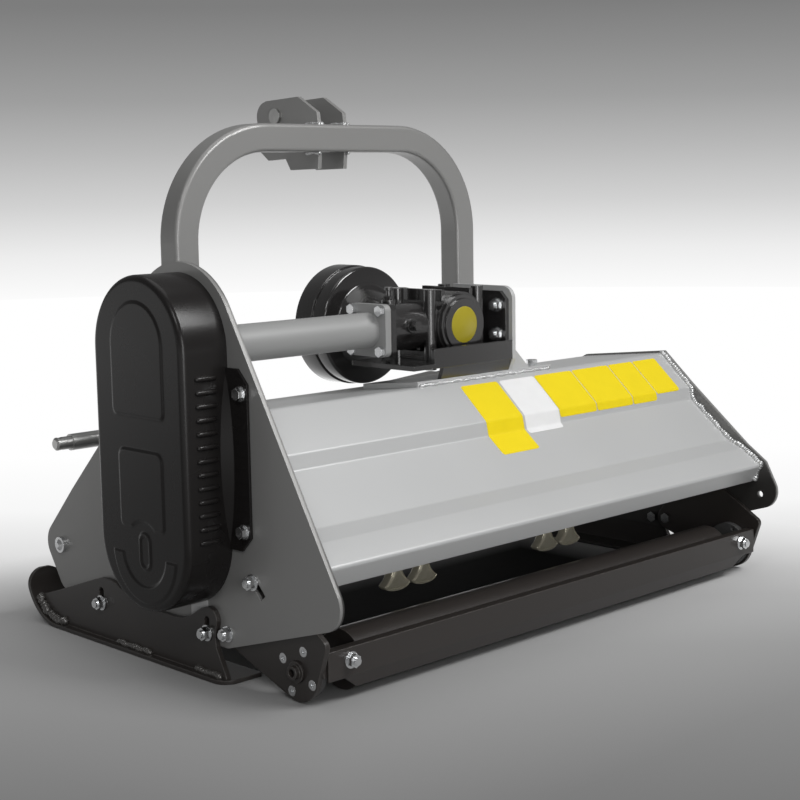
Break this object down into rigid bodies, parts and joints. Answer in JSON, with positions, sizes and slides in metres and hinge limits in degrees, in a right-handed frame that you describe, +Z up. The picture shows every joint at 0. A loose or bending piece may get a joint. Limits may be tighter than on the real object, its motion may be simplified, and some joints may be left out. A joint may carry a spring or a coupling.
{
  "type": "flail mower",
  "caption": "Rear-mounted tractor flail mower with hitch mast, bevel gearbox, side belt drive, rotor of swinging hammers, adjustable skids and a rear roller with scraper.",
  "frame": {"origin": "on the ground plane, midway between the side plates and straight below the rotor shaft", "axes": "+X to the machine's right, +Y forward towards the tractor, +Z up"},
  "size_m": [1.1696, 0.806, 0.86],
  "materials": {
    "housing_paint": "silver-grey metallic paint",
    "plate_paint": "darker grey metallic paint",
    "gloss_black": "gloss black paint",
    "cover_black": "satin black paint",
    "dark_paint": "semi-gloss brown-black paint",
    "zinc": "bright zinc plate",
    "bare_steel": "machined",
    "cast_iron": "machined casting",
    "belt_rubber": "matt",
    "gold_zinc": "yellow passivated zinc"
  },
  "bodies": {
    "housing": {"side_plate_left": "plate_paint", "side_plate_right": "plate_paint", "hood": "housing_paint", "mast_tube": "housing_paint", "hitch_arm_left": "housing_paint", "hitch_arm_right": "housing_paint", "hitch_pins": "zinc", "top_plate_left": "plate_paint", "top_plate_right": "plate_paint", "top_pin": "zinc", "gearbox_stand": "housing_paint", "gearbox_cradle": "gloss_black", "gearbox_case": "gloss_black", "gearbox_cap": "gloss_black", "gearbox_plugs": "zinc", "cradle_bolts": "zinc", "axle_tube": "housing_paint", "axle_bolts": "zinc", "pto_shield": "gloss_black", "belts": "belt_rubber", "belt_cover": "cover_black", "cover_bolts": "zinc", "rotor_bearings": "cast_iron", "frame_bolts": "zinc", "front_rod": "zinc"},
    "rotor": {"rotor_drum": "dark_paint", "rotor_lugs": "dark_paint", "rotor_ends": "bare_steel", "hammer_bolts": "zinc", "lower_pulley": "cast_iron"},
    "cross_drive": {"cross_shaft": "bare_steel", "pinion": "bare_steel", "upper_pulley": "cast_iron"},
    "pto_drive": {"pto_shaft": "bare_steel", "crown_wheel": "bare_steel"},
    "skid_shoe_left": {"skid_left": "dark_paint"},
    "skid_shoe_right": {"skid_right": "dark_paint"},
    "roller_frame": {"arm_left": "dark_paint", "arm_right": "dark_paint", "scraper_bar": "dark_paint", "arm_bolts": "zinc", "roller_hubs": "bare_steel", "hub_screws": "zinc"},
    "rear_roller": {"roller": "dark_paint"},
    "swing_01": {"hammer_01": "gold_zinc"},
    "swing_02": {"hammer_02": "gold_zinc"},
    "swing_03": {"hammer_03": "gold_zinc"},
    "swing_04": {"hammer_04": "gold_zinc"},
    "swing_05": {"hammer_05": "gold_zinc"},
    "swing_06": {"hammer_06": "gold_zinc"},
    "swing_07": {"hammer_07": "gold_zinc"},
    "swing_08": {"hammer_08": "gold_zinc"},
    "swing_09": {"hammer_09": "gold_zinc"},
    "swing_10": {"hammer_10": "gold_zinc"},
    "swing_11": {"hammer_11": "gold_zinc"},
    "swing_12": {"hammer_12": "gold_zinc"},
    "swing_13": {"hammer_13": "gold_zinc"},
    "swing_14": {"hammer_14": "gold_zinc"},
    "swing_15": {"hammer_15": "gold_zinc"},
    "swing_16": {"hammer_16": "gold_zinc"}
  },
  "joints": [
    {"name": "rotor_spin", "type": "hinge", "parent": "housing", "child": "rotor", "pos_m": [0, 0, 0.198], "axis": [1, 0, 0], "continuous": true},
    {"name": "cross_spin", "type": "hinge", "parent": "housing", "child": "cross_drive", "pos_m": [0, 0, 0.474], "axis": [1, 0, 0], "continuous": true},
    {"name": "pto_spin", "type": "hinge", "parent": "housing", "child": "pto_drive", "pos_m": [0, 0, 0.474], "axis": [0, 1, 0], "continuous": true},
    {"name": "skid_left_height", "type": "slide", "parent": "housing", "child": "skid_shoe_left", "axis": [0, 0, 1], "range_m": [-0.018, 0]},
    {"name": "skid_right_height", "type": "slide", "parent": "housing", "child": "skid_shoe_right", "axis": [0, 0, 1], "range_m": [-0.018, 0]},
    {"name": "roller_height", "type": "hinge", "parent": "housing", "child": "roller_frame", "pos_m": [0, -0.09, 0.071], "axis": [1, 0, 0], "range_deg": [0, 12]},
    {"name": "roller_spin", "type": "hinge", "parent": "roller_frame", "child": "rear_roller", "pos_m": [0, -0.231, 0.044], "axis": [1, 0, 0], "continuous": true},
    {"name": "swing_01_hinge", "type": "hinge", "parent": "rotor", "child": "swing_01", "pos_m": [-0.465, -0.04131, 0.1203], "axis": [1, 0, 0], "range_deg": [-133, 77]},
    {"name": "swing_02_hinge", "type": "hinge", "parent": "rotor", "child": "swing_02", "pos_m": [-0.403, 0.08795, 0.20107], "axis": [1, 0, 0], "range_deg": [-13, 197]},
    {"name": "swing_03_hinge", "type": "hinge", "parent": "rotor", "child": "swing_03", "pos_m": [-0.341, 0.08795, 0.20107], "axis": [1, 0, 0], "range_deg": [-13, 197]},
    {"name": "swing_04_hinge", "type": "hinge", "parent": "rotor", "child": "swing_04", "pos_m": [-0.279, -0.04663, 0.27263], "axis": [1, 0, 0], "range_deg": [-210, 0]},
    {"name": "swing_05_hinge", "type": "hinge", "parent": "rotor", "child": "swing_05", "pos_m": [-0.217, -0.04663, 0.27263], "axis": [1, 0, 0], "range_deg": [-210, 0]},
    {"name": "swing_06_hinge", "type": "hinge", "parent": "rotor", "child": "swing_06", "pos_m": [-0.155, -0.04131, 0.1203], "axis": [1, 0, 0], "range_deg": [-133, 77]},
    {"name": "swing_07_hinge", "type": "hinge", "parent": "rotor", "child": "swing_07", "pos_m": [-0.093, -0.04131, 0.1203], "axis": [1, 0, 0], "range_deg": [-133, 77]},
    {"name": "swing_08_hinge", "type": "hinge", "parent": "rotor", "child": "swing_08", "pos_m": [-0.031, 0.08795, 0.20107], "axis": [1, 0, 0], "range_deg": [-13, 197]},
    {"name": "swing_09_hinge", "type": "hinge", "parent": "rotor", "child": "swing_09", "pos_m": [0.031, 0.08795, 0.20107], "axis": [1, 0, 0], "range_deg": [-13, 197]},
    {"name": "swing_10_hinge", "type": "hinge", "parent": "rotor", "child": "swing_10", "pos_m": [0.093, -0.04663, 0.27263], "axis": [1, 0, 0], "range_deg": [-210, 0]},
    {"name": "swing_11_hinge", "type": "hinge", "parent": "rotor", "child": "swing_11", "pos_m": [0.155, -0.04663, 0.27263], "axis": [1, 0, 0], "range_deg": [-210, 0]},
    {"name": "swing_12_hinge", "type": "hinge", "parent": "rotor", "child": "swing_12", "pos_m": [0.217, -0.04131, 0.1203], "axis": [1, 0, 0], "range_deg": [-133, 77]},
    {"name": "swing_13_hinge", "type": "hinge", "parent": "rotor", "child": "swing_13", "pos_m": [0.279, -0.04131, 0.1203], "axis": [1, 0, 0], "range_deg": [-133, 77]},
    {"name": "swing_14_hinge", "type": "hinge", "parent": "rotor", "child": "swing_14", "pos_m": [0.341, 0.08795, 0.20107], "axis": [1, 0, 0], "range_deg": [-13, 197]},
    {"name": "swing_15_hinge", "type": "hinge", "parent": "rotor", "child": "swing_15", "pos_m": [0.403, 0.08795, 0.20107], "axis": [1, 0, 0], "range_deg": [-13, 197]},
    {"name": "swing_16_hinge", "type": "hinge", "parent": "rotor", "child": "swing_16", "pos_m": [0.465, -0.04663, 0.27263], "axis": [1, 0, 0], "range_deg": [-210, 0]}
  ],
  "couplings": [
    {"joint": "cross_spin", "follows": "rotor_spin", "ratio": 0.66667},
    {"joint": "pto_spin", "follows": "rotor_spin", "ratio": -0.26667}
  ]
}
